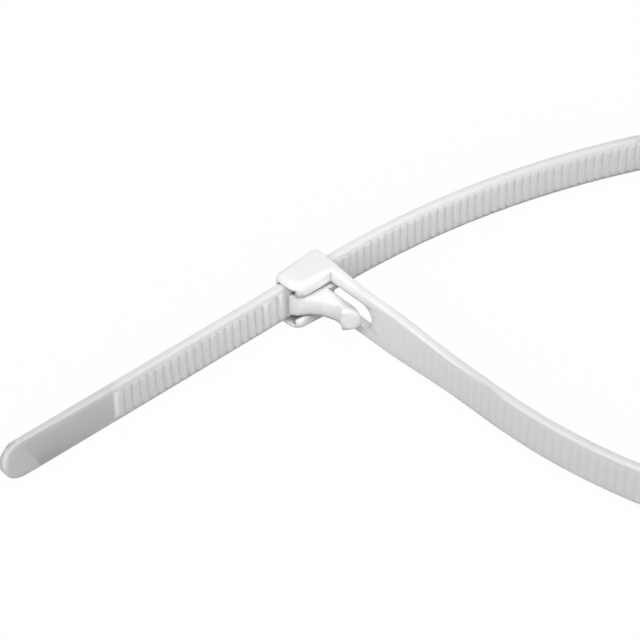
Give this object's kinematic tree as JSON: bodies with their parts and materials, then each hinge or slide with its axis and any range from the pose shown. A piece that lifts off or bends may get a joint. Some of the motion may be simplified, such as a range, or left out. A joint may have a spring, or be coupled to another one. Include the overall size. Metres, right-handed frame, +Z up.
{
  "type": "cable tie",
  "caption": "Releasable nylon cable tie closed into a loop, with a ribbed strap through its ratchet head, a finger lever that frees the pawl, and a loose end.",
  "frame": {"origin": "middle of the head's underside", "axes": "+Z up across the strap's width; +X from the head to the far end of the loop; the loose end points to -X and -Y at 45 degrees"},
  "size_m": [0.1174, 0.0631, 0.0064],
  "materials": {
    "nylon": "satin, natural translucent nylon"
  },
  "bodies": {
    "root": {"cable_tie": "nylon"}
  },
  "joints": []
}
